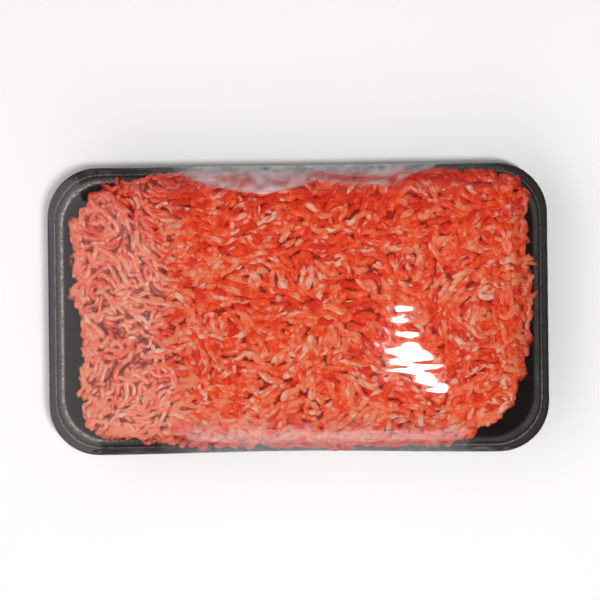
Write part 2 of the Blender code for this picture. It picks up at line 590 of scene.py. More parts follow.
@dataclass(frozen=True)
class PaperSweep:
    """A roll of matt white studio paper, with a painted glow that grows far off, so that it stays
    pale.
    """

    colour: str = "#ffffff"
    painted_far_glow: float = 0.75

    def material(self) -> bpy.types.Material:
        """Builds the material, with the faint tooth of the paper."""
        material, tree, output = new_material("studio_paper_matt")
        place = add_node(tree, "ShaderNodeTexCoord").outputs["Object"]
        tooth = add_node(tree, "ShaderNodeTexNoise", inputs={"Vector": place, "Scale": 900.0})
        relief = add_node(
            tree,
            "ShaderNodeBump",
            inputs={"Strength": 0.05, "Distance": 0.1 * MM, "Height": tooth.outputs[0]},
        )
        # Painted light: the paper glows more with distance from the pack, standing in for light far
        # off.
        away = add_node(tree, "ShaderNodeVectorMath", {"operation": "LENGTH"}, {0: place})
        painted_glow = add_node(
            tree,
            "ShaderNodeMapRange",
            inputs={0: away.outputs["Value"], 1: 0.6, 2: 2.2, 3: 0.0, 4: self.painted_far_glow},
        )
        shader = add_node(
            tree,
            "ShaderNodeBsdfPrincipled",
            inputs={
                "Base Color": linear(self.colour),
                "Roughness": 0.9,
                "Normal": relief.outputs[0],
                "Emission Color": linear(self.colour),
                "Emission Strength": painted_glow.outputs[0],
            },
        )
        tree.links.new(shader.outputs[0], output.inputs[0])
        return material


# ---------------------------------------------------------------------------- the outline


@dataclass(frozen=True)
class Steps:
    """How finely an outline is divided: each half corner, the long sides and the short sides."""

    corner: int
    long: int
    short: int

    @property
    def grid(self) -> tuple[int, int]:
        """The columns and rows of a grid whose border has these steps."""
        return 2 * self.corner + self.long, 2 * self.corner + self.short


@dataclass(frozen=True)
class Station:
    """A place around the outline, between the centres of two corners."""

    first: tuple[int, int]
    second: tuple[int, int]
    share: float
    heading: float
    waist: float


@dataclass
class Outline:
    """The tray's rounded rectangle, which can be set in from its outer edge."""

    length: float
    width: float
    corner: float = 22.5 * MM
    tightening: float = 0.45
    front_waist: float = 1.2 * MM
    back_waist: float = 0.3 * MM

    def stations(self, steps: Steps) -> list[Station]:
        """Lists the places around the outline, anticlockwise from the front left corner's middle.

        Args:
            steps: How finely to divide it.

        Returns:
            One station for each step.
        """
        corners = ((-1, -1), (1, -1), (1, 1), (-1, 1))
        turns = [math.pi / 4 * step / steps.corner for step in range(steps.corner)]
        places = []
        for side, waist in enumerate((self.front_waist, 0.0, self.back_waist, 0.0)):
            here, ahead = corners[side], corners[(side + 1) % 4]
            heading = math.pi * (1.5 + side / 2)
            straight = steps.short if side % 2 else steps.long
            places += [
                Station(here, here, 0.0, heading - math.pi / 4 + turn, 0.0) for turn in turns
            ]
            for step in range(straight):
                share = step / straight
                pinch = waist * math.sin(math.pi * share) ** 2
                places.append(Station(here, ahead, share, heading, pinch))
            places += [Station(ahead, ahead, 0.0, heading + turn, 0.0) for turn in turns]
        return places

    def at(self, station: Station, inset: float, height: float) -> Vector:
        """Finds the point at a station.

        Args:
            station: Where around the outline.
            inset: How far in from the tray's outer edge.
            height: The point's height.

        Returns:
            The point.
        """
        radius = self.corner - self.tightening * inset
        reach_x = self.length / 2 - inset - radius
        reach_y = self.width / 2 - inset - radius
        first = Vector((station.first[0] * reach_x, station.first[1] * reach_y, height))
        second = Vector((station.second[0] * reach_x, station.second[1] * reach_y, height))
        outward = Vector((math.cos(station.heading), math.sin(station.heading), 0.0))
        return first.lerp(second, station.share) + outward * (radius - station.waist)

    def ring(self, inset: float, height: float, steps: Steps) -> list[Vector]:
        """The whole outline at one inset and height."""
        return [self.at(station, inset, height) for station in self.stations(steps)]

    def inset_of(self, x: np.ndarray, y: np.ndarray) -> np.ndarray:
        """Measures how far points are in from the outer edge, less than 0 outside it.

        Args:
            x: The points' x.
            y: The points' y.

        Returns:
            The insets, near enough for a corner that keeps one centre.
        """
        past_x = np.abs(x) - (self.length / 2 - self.corner)
        past_y = np.abs(y) - (self.width / 2 - self.corner)
        outside = np.hypot(np.maximum(past_x, 0), np.maximum(past_y, 0))
        inside = np.minimum(np.maximum(past_x, past_y), 0)
        return self.corner - outside - inside


def lay_ring(shape: bmesh.types.BMesh, points: list[Vector]) -> list[bmesh.types.BMEdge]:
    """Lays one flat face through points, and marks each vertex with its station.

    Args:
        shape: The bmesh to lay it in.
        points: The ring's points, in order.

    Returns:
        The ring's edges.
    """
    mark = shape.verts.layers.int.new("station")
    verts = [shape.verts.new(point) for point in points]
    for number, vert in enumerate(verts):
        vert[mark] = number
    return list(shape.faces.new(verts).edges)


def draw_out(
    shape: bmesh.types.BMesh, border: list[bmesh.types.BMEdge], points: list[Vector]
) -> list[bmesh.types.BMEdge]:
    """Extrudes a closed border, and puts each new vertex on the point of its own station.

    Args:
        shape: The bmesh that the border is in.
        border: The border's edges.
        points: A point for each station.

    Returns:
        The new border's edges.
    """
    mark = shape.verts.layers.int["station"]
    made = bmesh.ops.extrude_edge_only(shape, edges=border)["geom"]
    new_verts = {item for item in made if isinstance(item, bmesh.types.BMVert)}
    for vert in new_verts:
        vert.co = points[vert[mark]]
    edges = [item for item in made if isinstance(item, bmesh.types.BMEdge)]
    return [edge for edge in edges if new_verts.issuperset(edge.verts)]


def net_inside(border: list[Vector], steps: Steps) -> dict[tuple[int, int], Vector]:
    """Spreads points smoothly inside a closed border of four sides.

    Args:
        border: The border's points, from the grid's first corner, anticlockwise.
        steps: The border's steps.

    Returns:
        A point for each column and row.
    """
    columns, rows = steps.grid
    front = border[: columns + 1]
    right = border[columns : columns + rows + 1]
    back = border[columns + rows : 2 * columns + rows + 1][::-1]
    left = (border[2 * columns + rows :] + border[:1])[::-1]
    net = {}
    for column in range(columns + 1):
        for row in range(rows + 1):
            u, v = column / columns, row / rows
            sides = front[column].lerp(back[column], v) + left[row].lerp(right[row], u)
            ends = front[0].lerp(front[-1], u).lerp(back[0].lerp(back[-1], u), v)
            net[column, row] = sides - ends
    return net


def lay_grid(
    shape: bmesh.types.BMesh, steps: Steps, net: dict[tuple[int, int], Vector]
) -> list[bmesh.types.BMEdge]:
    """Lays a grid on a net of points, and marks each border vertex with its station.

    Args:
        shape: The bmesh to lay it in.
        steps: The steps of the grid's border.
        net: A point for each column and row.

    Returns:
        The grid's border.
    """
    columns, rows = steps.grid
    bmesh.ops.create_grid(shape, x_segments=columns, y_segments=rows, size=0.5)
    mark = shape.verts.layers.int.new("station")
    for vert in shape.verts:
        column = round((vert.co.x + 0.5) * columns)
        row = round((vert.co.y + 0.5) * rows)
        if row == 0:
            vert[mark] = column
        elif column == columns:
            vert[mark] = columns + row
        elif row == rows:
            vert[mark] = 2 * columns + rows - column
        elif column == 0:
            vert[mark] = 2 * (columns + rows) - row
        vert.co = net[column, row]
    return [edge for edge in shape.edges if edge.is_boundary]


# ---------------------------------------------------------------------------- height maps


@dataclass
class HeightMap:
    """A height for each cell of a level grid over the pack."""

    half_x: float
    half_y: float
    cell: float
    z: np.ndarray = field(init=False)

    def __post_init__(self) -> None:
        """Lays out the cells, all at height 0."""
        self.columns = round(2 * self.half_x / self.cell) + 1
        self.rows = round(2 * self.half_y / self.cell) + 1
        self.x = np.linspace(-self.half_x, self.half_x, self.columns)
        self.y = np.linspace(-self.half_y, self.half_y, self.rows)
        self.z = np.zeros((self.columns, self.rows))

    def grids(self) -> tuple[np.ndarray, np.ndarray]:
        """The x and y of every cell."""
        return np.meshgrid(self.x, self.y, indexing="ij")

    def read(self, x: np.ndarray, y: np.ndarray, values: np.ndarray | None = None) -> np.ndarray:
        """Reads heights between cells.

        Args:
            x: The points' x.
            y: The points' y.
            values: Another array on the same cells, in place of the heights.

        Returns:
            A value for each point.
        """
        table = self.z if values is None else values
        u = np.clip((x + self.half_x) / self.cell, 0, self.columns - 1.001)
        v = np.clip((y + self.half_y) / self.cell, 0, self.rows - 1.001)
        i, j = u.astype(int), v.astype(int)
        s, t = u - i, v - j
        low = table[i, j] * (1 - s) + table[i + 1, j] * s
        high = table[i, j + 1] * (1 - s) + table[i + 1, j + 1] * s
        return low * (1 - t) + high * t

    def stamp(self, x: float, y: float, z: float, radius: float, lid: np.ndarray) -> None:
        """Raises the heights to a ball, which a lid flattens.

        Args:
            x: The ball's x.
            y: The ball's y.
            z: The ball's middle.
            radius: Its radius.
            lid: The greatest height of each cell.
        """
        i0 = max(int((x - radius + self.half_x) / self.cell), 0)
        j0 = max(int((y - radius + self.half_y) / self.cell), 0)
        i1 = int((x + radius + self.half_x) / self.cell) + 2
        j1 = int((y + radius + self.half_y) / self.cell) + 2
        dx = (self.x[i0:i1] - x)[:, None]
        dy = (self.y[j0:j1] - y)[None, :]
        under = radius * radius - dx * dx - dy * dy
        ball = np.where(under > 0, z + np.sqrt(np.maximum(under, 0)), -1.0)
        ball = np.minimum(ball, lid[i0:i1, j0:j1])
        self.z[i0:i1, j0:j1] = np.maximum(self.z[i0:i1, j0:j1], ball)


def spread(values: np.ndarray, cells: int, widest: bool = True) -> np.ndarray:
    """Gives each cell the greatest or the least value within some cells of it."""
    pick = np.maximum if widest else np.minimum
    for _ in range(cells):
        for axis in (0, 1):
            ahead, behind = np.roll(values, 1, axis), np.roll(values, -1, axis)
            values = pick(values, pick(ahead, behind))
    return values


def blur(values: np.ndarray, times: int) -> np.ndarray:
    """Averages each cell with its neighbours, some number of times."""
    for _ in range(times):
        for axis in (0, 1):
            values = (np.roll(values, 1, axis) + 2 * values + np.roll(values, -1, axis)) / 4
    return values


# ---------------------------------------------------------------------------- the tray


@dataclass
class FoamTray:
    """The black foam tray, with a flange, a bead line inside it and sloping walls."""

    outline: Outline
    foot_z: float
    rim_z: float
    floor: float = 3.0 * MM
    steps: Steps = Steps(corner=9, long=24, short=14)
    finish: BlackFoam = BlackFoam()

    @property
    def upper_skin(self) -> list[tuple[float, float]]:
        """Inset and height of the skin above, from the floor out to the lip."""
        floor_z = self.foot_z + self.floor
        return [
            (21.5 * MM, floor_z),
            (18.6 * MM, floor_z + 0.6 * MM),
            (16.0 * MM, floor_z + 2.6 * MM),
            (12.5 * MM, floor_z + 8.5 * MM),
            (7.9 * MM, self.rim_z - 4.2 * MM),
            (7.2 * MM, self.rim_z - 2.3 * MM),
            (6.8 * MM, self.rim_z - 1.4 * MM),
            (6.4 * MM, self.rim_z - 1.0 * MM),
            (6.0 * MM, self.rim_z - 0.9 * MM),
            (4.5 * MM, self.rim_z - 0.9 * MM),
            (4.1 * MM, self.rim_z - 0.75 * MM),
            (3.75 * MM, self.rim_z - 0.25 * MM),
            (3.5 * MM, self.rim_z),
            (3.2 * MM, self.rim_z),
            (2.95 * MM, self.rim_z - 0.25 * MM),
            (2.6 * MM, self.rim_z - 0.42 * MM),
            (1.2 * MM, self.rim_z - 0.5 * MM),
            (0.4 * MM, self.rim_z - 0.8 * MM),
            (0.05 * MM, self.rim_z - 1.4 * MM),
            (0.0, self.rim_z - 2.2 * MM),
            (0.0, self.rim_z - 3.4 * MM),
        ]

    @property
    def lower_skin(self) -> list[tuple[float, float]]:
        """Inset and height of the skin below, from the lip back to the foot."""
        return [
            (0.3 * MM, self.rim_z - 4.0 * MM),
            (1.0 * MM, self.rim_z - 4.2 * MM),
            (4.0 * MM, self.rim_z - 3.7 * MM),
            (4.7 * MM, self.rim_z - 4.3 * MM),
            (9.8 * MM, self.foot_z + 11.2 * MM),
            (14.0 * MM, self.foot_z + 3.3 * MM),
            (16.4 * MM, self.foot_z + 0.8 * MM),
            (19.0 * MM, self.foot_z),
        ]

    def build(self) -> bpy.types.Object:
        """Draws the tray out from its floor, up over the flange and back to its foot."""
        shape = bmesh.new()
        border = lay_ring(shape, self.outline.ring(*self.upper_skin[0], self.steps))
        bmesh.ops.inset_region(shape, faces=shape.faces, thickness=8 * MM)
        border = [edge for edge in shape.edges if edge.is_boundary]
        # Each point of the flange rings gets a mark of wear and painted highlight, which the finish
        # reads.
        wear_and_highlight = shape.verts.layers.float.new("wear_and_highlight")
        for inset, height in self.upper_skin[1:]:
            border = draw_out(shape, border, self.outline.ring(inset, height, self.steps))
            for vert in {vert for edge in border for vert in edge.verts}:
                vert[wear_and_highlight] = self.wear_and_highlight(inset, vert.co)
        for inset, height in self.lower_skin:
            border = draw_out(shape, border, self.outline.ring(inset, height, self.steps))
        cap = bmesh.ops.contextual_create(shape, geom=border)["faces"]
        bmesh.ops.inset_region(shape, faces=cap, thickness=8 * MM)
        bmesh.ops.recalc_face_normals(shape, faces=shape.faces)
        mesh = mesh_of(shape, "foam_tray")
        tray = add_piece(mesh, "foam_tray", self.finish.material(), "tray")
        rounding = tray.modifiers.new("rounding", "SUBSURF")
        rounding.levels = rounding.render_levels = 1
        return tray

    def wear_and_highlight(self, inset: float, place: Vector) -> float:
        """Finds how pale the skin is painted along the bead, and along the ledge's edge at the left:
        partly wear, partly a painted highlight where these edges catch the lamps.

        Args:
            inset: How far in from the outer edge.
            place: Where on the tray.

        Returns:
            A value from 0 where the skin is plain, with no wear or painted highlight, to 1.
        """
        # The painted highlight is strongest at the left and the front right, where the ledge and the
        # bead catch the lamps.
        left = float(smooth_step(60 * MM, 100 * MM, -place.x))
        front_right = float(smooth_step(60 * MM, 85 * MM, place.x))
        front_right *= float(smooth_step(10 * MM, 40 * MM, -place.y))
        ledge = math.exp(-(((inset - 6.5 * MM) / (0.4 * MM)) ** 2))
        bead = math.exp(-(((inset - 3.35 * MM) / (0.22 * MM)) ** 2))
        return ledge * (0.05 + 0.95 * left) + bead * (0.22 + 0.2 * left + 0.3 * front_right)

    def skin_height(self, inset: np.ndarray) -> np.ndarray:
        """How high the tray's upper skin is at each inset from its outer edge."""
        table = sorted(self.upper_skin)
        insets = [place for place, _ in table]
        heights = [height for _, height in table]
        return np.interp(inset, insets, heights)


# ---------------------------------------------------------------------------- the mince


class Kind(Enum):
    """The kinds of thing that the heap is made of, each of which becomes one piece."""

    LOOSE = "mince_loose"
    PRESSED_LEFT = "mince_pressed_left"
    PRESSED_MIDDLE = "mince_pressed_middle"
    PRESSED_RIGHT = "mince_pressed_right"
    FAT = "fat_crumbs"


@dataclass
class Strand:
    """One strand from the mincer: its path, its thickness along it, and its own character."""

    points: np.ndarray
    radii: np.ndarray
    tone: float
    fatness: float


@dataclass(frozen=True)
class Swirl:
    """A place that the strands coil around."""

    x: float
    y: float
    reach: float


@dataclass
class MinceHeap:
    """The heap: strands laid one on another over a core, under the film's lid."""

    outline: Outline
    tray: FoamTray
    crown_z: float
    seat_z: float
    left_fall: float = 3.0
    right_fall: float = 6.0
    side_fall: float = 8.0
    strand: float = 1.5 * MM
    cell: float = 0.5 * MM
    most: int = 4200
    seed: int = 11
    swirls: tuple[Swirl, ...] = (
        Swirl(-33 * MM, -5 * MM, 11 * MM),
        Swirl(50 * MM, 20 * MM, 13 * MM),
        Swirl(82 * MM, -2 * MM, 20 * MM),
        Swirl(-88 * MM, 40 * MM, 14 * MM),
        Swirl(12 * MM, -38 * MM, 12 * MM),
    )

    def __post_init__(self) -> None:
        """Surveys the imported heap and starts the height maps."""
        self.chance = random.Random(self.seed)
        self.ground = HeightMap(self.outline.length / 2, self.outline.width / 2, self.cell)
        self.survey()

    def dome(self, x: np.ndarray, y: np.ndarray) -> np.ndarray:
        """How high the underside of the taut film would be, with nothing under it but the heap.

        Args:
            x: The points' x.
            y: The points' y.

        Returns:
            The heights.
        """
        reach_x = self.outline.length / 2 - 0.8 * MM
        reach_y = self.outline.width / 2 - 0.8 * MM
        lengthways = np.minimum(np.abs(x) / reach_x, 1.0)
        sideways = np.minimum(np.abs(y) / reach_y, 1.0)
        fall = np.where(x < 0, self.left_fall, self.right_fall)
        rise = (1 - lengthways**fall) * (1 - sideways**self.side_fall)
        return self.seat_z + (self.crown_z - self.seat_z) * rise

    def survey(self) -> None:
        """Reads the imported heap's outline and height, and sets the lid and the ground from them."""
        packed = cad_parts["mince"].data
        tree = BVHTree.FromPolygons(
            [vert.co for vert in packed.vertices], [face.vertices for face in packed.polygons]
        )
        ground = self.ground
        coarse = HeightMap(ground.half_x, ground.half_y, 2 * self.cell)
        down = Vector((0, 0, -1))
        for i, x in enumerate(coarse.x):
            for j, y in enumerate(coarse.y):
                hit = tree.ray_cast(Vector((x, y, 1.0)), down)[0]
                coarse.z[i, j] = hit.z if hit else 0.0
        x, y = ground.grids()
        heap = coarse.read(x, y)
        filled = spread(spread(heap, 8), 8, widest=False)
        skin = self.tray.skin_height(np.clip(self.outline.inset_of(x, y), 0, 1))
        taut = self.dome(x, y) - 0.15 * MM
        self.taut, self.skin = taut, skin
        self.inside = heap > skin + 0.2 * MM
        self.nearness = blur(self.inside.astype(float), 24)
        self.shore = blur(self.inside.astype(float), 70)
        self.bite = self.bites(x, y)
        self.inside &= self.shore > self.bite
        end = 0.6 * smooth_step(90 * MM, 104 * MM, x)
        self.looseness = 1 - smooth_step(-74 * MM, -36 * MM, x) + end
        drop = (3.7 * self.looseness - 1.1) * MM
        self.lid = np.minimum(np.minimum(blur(spread(filled, 20), 8), taut) - drop, taut)
        depth = (2.6 + 2.0 * self.looseness) * MM
        core = np.where(self.inside, np.maximum(self.lid - depth, 0), 0)
        self.core = np.minimum(core, blur(core, 10) + 1 * MM)
        ground.z = np.maximum(skin, self.core)

    def bites(self, x: np.ndarray, y: np.ndarray) -> np.ndarray:
        """Finds how ragged the heap's edge is: it is torn at both ends and straight at the sides.

        Args:
            x: The map's x.
            y: The map's y.

        Returns:
            The nearness to the heap at which its strands stop, for each cell.
        """
        torn = np.array(
            [
                noise.noise(Vector((px, py, 0.0)) / (5.5 * MM))
                + 0.5 * noise.noise(Vector((px, py, 9.0 * MM)) / (2.4 * MM))
                for px, py in zip(x.ravel(), y.ravel())
            ]
        ).reshape(x.shape)
        ends = smooth_step(58 * MM, 84 * MM, np.abs(x))
        edge = np.clip(0.32 + 0.75 * torn, 0.03, 0.95)
        bite = 0.02 + ends * (edge - 0.02)
        rim = (1.5 + 1.9 * np.clip(0.35 + torn, 0, 1)) * MM
        return np.where(self.outline.inset_of(x, y) < rim, 2.0, bite)

    def heading(self, x: float, y: float) -> float:
        """The direction in which strands lie at a place.

        Args:
            x: The place's x.
            y: The place's y.

        Returns:
            The angle from +X, between a quarter turn back and a quarter turn on.
        """
        place = Vector((x, y, 0.0)) / (30 * MM)
        turn = 1.7 * noise.noise(place + Vector((3.0, 8.0, 1.0)))
        turn += 1.3 * noise.noise(place * 2.6 + Vector((9.0, 2.0, 4.0)))
        edge = 1.5 * float(smooth_step(82 * MM, 100 * MM, -x))
        cosine, sine = math.cos(2 * turn) - edge, math.sin(2 * turn)
        for swirl in self.swirls:
            dx, dy = x - swirl.x, y - swirl.y
            pull = 3 * math.exp(-(dx * dx + dy * dy) / swirl.reach**2)
            around = math.atan2(dx, -dy)
            cosine += pull * math.cos(2 * around)
            sine += pull * math.sin(2 * around)
        return math.atan2(sine, cosine) / 2

    def route(self, x: float, y: float, count: int, step: float, loose: bool) -> np.ndarray:
        """Walks both ways from a place, along the lie of the strands, in waves.

        Args:
            x: The place's x.
            y: The place's y.
            count: The steps each way.
            step: How long each step is.
            loose: Whether the strand lies free, and so curls more.

        Returns:
            The points on the way, as rows of x and y.
        """
        chance = self.chance
        own = chance.gauss(0, 0.9 if x > 88 * MM else 0.45 if loose else 0.32)
        swing = min(abs(chance.gauss(0, 0.75 if loose else 0.55)), 1.3)
        wave = math.tau / (chance.uniform(8, 15) * MM)
        phase = chance.uniform(0, math.tau)
        legs = []
        for direction in (-1, 1):
            px, py, base = x, y, self.heading(x, y)
            leg = []
            for number in range(1, count + 1):
                lie = self.heading(px, py)
                base = lie + math.pi * round((base - lie) / math.pi)
                along = direction * (number - 0.5) * step
                turn = base + own + swing * math.sin(wave * along + phase)
                px += direction * step * math.cos(turn)
                py += direction * step * math.sin(turn)
                leg.append((px, py))
            legs.append(leg)
        return np.array(legs[0][::-1] + [(x, y)] + legs[1])

    def lay(self, x: float, y: float, length: float, radius: float, kind: Kind) -> Strand | None:
        """Lays one strand through a place, over what lies there already.

        Args:
            x: The place's x.
            y: The place's y.
            length: The strand's length.
            radius: Its radius.
            kind: What it is.

        Returns:
            The strand, or nothing if too little of it stays on the heap.
        """
        chance, ground = self.chance, self.ground
        step = min(radius * 0.95, length / 2)
        path = self.route(x, y, max(round(length / step / 2), 1), step, kind is Kind.LOOSE)
        near = ground.read(path[:, 0], path[:, 1], self.shore - self.bite)
        middle = len(path) // 2
        off = np.flatnonzero(near < chance.choice((-0.2, -0.05, 0.0, 0.1)))
        start = max(off[off <= middle], default=-1) + 1
        stop = min(off[off > middle], default=len(path))
        path = path[start:stop]
        if len(path) < 3:
            return None
        across = np.gradient(path, axis=0)[:, ::-1] * (1, -1)
        across /= np.maximum(np.linalg.norm(across, axis=1, keepdims=True), 1e-9)
        under = np.max(
            [
                ground.read(path[:, 0] + side * across[:, 0], path[:, 1] + side * across[:, 1])
                for side in (-0.6 * radius, 0.0, 0.6 * radius)
            ],
            axis=0,
        )
        sink = 0.15 if kind is Kind.FAT else 0.6
        z = under + sink * radius
        for _ in range(3):
            padded = np.pad(z, 1, mode="edge")
            z = np.maximum((padded[:-2] + 2 * z + padded[2:]) / 4, under + 0.4 * sink * radius)
        lid = ground.read(path[:, 0], path[:, 1], self.lid)
        loose = ground.read(path[:, 0], path[:, 1], self.looseness)
        depth = chance.uniform(0.0, 0.45) * MM * (1 - loose)
        taut = ground.read(path[:, 0], path[:, 1], self.taut)
        z = np.minimum(z, lid - radius * (0.5 - 2.6 * loose) - depth)
        z = np.minimum(z, taut - radius * 0.8 * np.minimum(2 * loose, 1))
        z = np.maximum(z, ground.read(path[:, 0], path[:, 1], self.skin) + 0.3 * radius)
        ends = np.ones(len(path))
        ends[[0, -1]] = 0.62, 0.58
        if len(path) > 4:
            ends[[1, -2]] = 0.95, 0.93
        uneven = 0.13 if kind is Kind.LOOSE else 0.08
        radii = radius * ends * (1 + np.array([chance.gauss(0, uneven) for _ in ends]))
        lid_map = self.lid + self.looseness * 3.2 * MM
        for (px, py), pz, pr in zip(path, z, radii):
            ground.stamp(px, py, pz, pr, lid_map)
        tone = min(max(chance.gauss(0.5, 0.22), 0), 1)
        fatness = 0.28 if kind is Kind.FAT else chance.gauss(0, 0.05)
        return Strand(np.c_[path, z], radii, tone, fatness)

    def pile(self) -> dict[Kind, list[Strand]]:
        """Lays strands where the heap is lowest until it is filled up to the lid."""
        heap: dict[Kind, list[Strand]] = {kind: [] for kind in Kind}
        picker = np.random.default_rng(self.seed)
        columns, rows = np.nonzero(self.inside)
        chance, ground, misses = self.chance, self.ground, 0
        while misses < 4 and sum(map(len, heap.values())) < self.most:
            picks = picker.integers(0, len(columns), 300)
            i, j = columns[picks], rows[picks]
            deficit = self.lid[i, j] - ground.z[i, j]
            lowest = int(np.argmax(deficit))
            if deficit[lowest] < 1.1 * MM:
                misses += 1
                continue
            x, y = ground.x[i[lowest]], ground.y[j[lowest]]
            kind = self.kind_at(x, y)
            span = (7, 20) if kind is Kind.LOOSE else (6, 15)
            radius = self.strand * chance.uniform(0.86, 1.1)
            radius *= 0.92 if kind is Kind.LOOSE else 1.3
            strand = self.lay(x, y, chance.uniform(*span) * MM, radius, kind)
            if strand:
                heap[kind].append(strand)
            else:
                ground.stamp(x, y, self.lid[i[lowest], j[lowest]] - radius, radius, self.lid)
        near = (self.shore - self.bite)[columns, rows]
        edge = np.flatnonzero(near < 0.2)
        for pick in picker.choice(edge, 300):
            x, y = ground.x[columns[pick]], ground.y[rows[pick]]
            radius = self.strand * chance.uniform(0.75, 1.0)
            strand = self.lay(x, y, chance.uniform(4, 10) * MM, radius, self.kind_at(x, y))
            if strand:
                heap[self.kind_at(x, y)].append(strand)
        for pick in picker.integers(0, len(columns), 110):
            spot = ground.x[columns[pick]], ground.y[rows[pick]]
            radius = chance.uniform(0.6, 1.15) * MM
            strand = self.lay(*spot, chance.uniform(2.0, 5.0) * MM, radius, Kind.FAT)
            if strand:
                heap[Kind.FAT].append(strand)
        self.envelope = blur(spread(ground.z, 3), 4)
        for kind, strands in heap.items():
            log.info("%s: %d strands", kind.value, len(strands))
        return heap

    def kind_at(self, x: float, y: float) -> Kind:
        """Which kind of strand lies at a place."""
        if float(self.ground.read(np.array(x), np.array(y), self.looseness)) > 0.5:
            return Kind.LOOSE
        if x < 8 * MM:
            return Kind.PRESSED_LEFT
        return Kind.PRESSED_MIDDLE if x < 55 * MM else Kind.PRESSED_RIGHT

    def mesh_strands(self, strands: list[Strand], name: str) -> bpy.types.Mesh:
        """Sweeps strands into one mesh, lumpy, pressed under the lid, and marked for the finish.

        Args:
            strands: The strands.
            name: The mesh's name.

        Returns:
            The mesh, with each point's grain, tone and fatness.
        """
        curve = bpy.data.curves.new(name, "CURVE")
        curve.dimensions = "3D"
        curve.bevel_depth = 1.0
        curve.bevel_resolution = 1
        for strand in strands:
            spline = curve.splines.new("POLY")
            spline.points.add(len(strand.points) - 1)
            spline.points.foreach_set("co", np.c_[strand.points, strand.radii].ravel())
            spline.points.foreach_set("radius", strand.radii)
        sweep = bpy.data.objects.new(name, curve)
        bpy.context.scene.collection.objects.link(sweep)
        bpy.context.view_layer.update()
        mesh = bpy.data.meshes.new_from_object(
            sweep.evaluated_get(bpy.context.evaluated_depsgraph_get())
        )
        bpy.data.objects.remove(sweep)
        bpy.data.curves.remove(curve)
        mesh.name = name
        self.press(mesh)
        shape = bmesh.new()
        shape.from_mesh(mesh)
        bmesh.ops.holes_fill(shape, edges=shape.edges)
        bmesh.ops.recalc_face_normals(shape, faces=shape.faces)
        shape.to_mesh(mesh)
        shape.free()
        self.mark(mesh, strands)
        return mesh

    def press(self, mesh: bpy.types.Mesh) -> None:
        """Makes the strands lumpy, and flattens what would stand above the film.

        Args:
            mesh: The swept mesh.
        """
        co = positions(mesh)
        normals = np.empty(co.size)
        mesh.vertex_normals.foreach_get("vector", normals)
        lumps = [
            noise.noise(point / (3.4 * MM)) + 0.6 * noise.noise(point / (1.7 * MM))
            for point in map(Vector, co)
        ]
        loose = self.ground.read(co[:, 0], co[:, 1], self.looseness)
        swell = np.array(lumps) * (0.45 + 0.2 * loose) * MM
        co += normals.reshape(-1, 3) * swell[:, None]
        taut = self.dome(co[:, 0], co[:, 1]) - 0.15 * MM
        lid = self.ground.read(co[:, 0], co[:, 1], self.lid) + loose * 4.5 * MM
        lid = np.minimum(lid, taut)
        room = 0.9 * MM
        over = np.maximum(co[:, 2] - (lid - room), 0)
        co[:, 2] = np.where(over > 0, lid - room * np.exp(-over / room), co[:, 2])
        inset = self.outline.inset_of(co[:, 0], co[:, 1])
        beyond = np.maximum(0.9 * MM - inset, 0)
        room_x = self.outline.length / 2 - np.abs(co[:, 0])
        at_end = room_x < self.outline.width / 2 - np.abs(co[:, 1])
        co[:, 0] -= np.sign(co[:, 0]) * np.where(at_end, beyond, 0)
        co[:, 1] -= np.sign(co[:, 1]) * np.where(at_end, 0, beyond)
        skin = self.tray.skin_height(np.clip(inset, 0.9 * MM, 1))
        co[:, 2] = np.maximum(co[:, 2], skin + 0.05 * MM)
        mesh.vertices.foreach_set("co", co.ravel())

    def mark(self, mesh: bpy.types.Mesh, strands: list[Strand]) -> None:
        """Marks each point with its place along its own strand, the strand's character, and the
        painted shade and painted film reflection that the finish mixes in.

        Args:
            mesh: The swept mesh, strand after strand.
            strands: The strands.
        """
        total = sum(len(strand.points) for strand in strands)
        sides = len(mesh.vertices) // total
        around = np.arange(sides) / sides * math.tau
        grain, tone, fatness = [], [], []
        for number, strand in enumerate(strands):
            gaps = np.linalg.norm(np.diff(strand.points, axis=0), axis=1)
            along = np.concatenate([[0.0], np.cumsum(gaps)])
            u = np.repeat(along * 0.5, sides)
            v = np.tile(np.cos(around), len(along)) * self.strand
            w = np.tile(np.sin(around), len(along)) * self.strand + number * 11.3 * MM
            grain.append(np.c_[u, v, w])
            tone.append(np.full(len(u), strand.tone))
            fatness.append(np.full(len(u), strand.fatness))
        co = positions(mesh)
        normals = np.empty(co.size)
        mesh.vertex_normals.foreach_get("vector", normals)
        # Painted shade: strand sides that turn away from the overhead lamps are darkened.
        painted_flank_shade = smooth_step(0.1, 0.8, 1 - normals.reshape(-1, 3)[:, 2])
        # Painted shade: points lying below the heap's top are darkened, most in the deep gaps.
        top = self.ground.read(co[:, 0], co[:, 1], self.envelope)
        depth = smooth_step(0.5 * MM, 3.0 * MM, top - co[:, 2])
        depth = np.minimum(depth + 0.35 * painted_flank_shade, 1.0)
        set_marks(mesh, "grain", np.concatenate(grain))
        set_marks(mesh, "tone", np.concatenate(tone))
        set_marks(mesh, "fatness", np.concatenate(fatness))
        set_marks(mesh, "depth", depth)
        # Painted light: paler towards the front and in the loose mince at the left, as a painted
        # reflection of the film, and darker towards the back, as painted shade where the heap falls
        # away from the lamps.
        back = smooth_step(24 * MM, 54 * MM, co[:, 1])
        front = smooth_step(15 * MM, 50 * MM, -co[:, 1])
        front *= 1 - 0.7 * smooth_step(20 * MM, 60 * MM, co[:, 0])
        loose = self.ground.read(co[:, 0], co[:, 1], self.looseness)
        set_marks(mesh, "pale", loose - 1.1 * back + 0.7 * front)

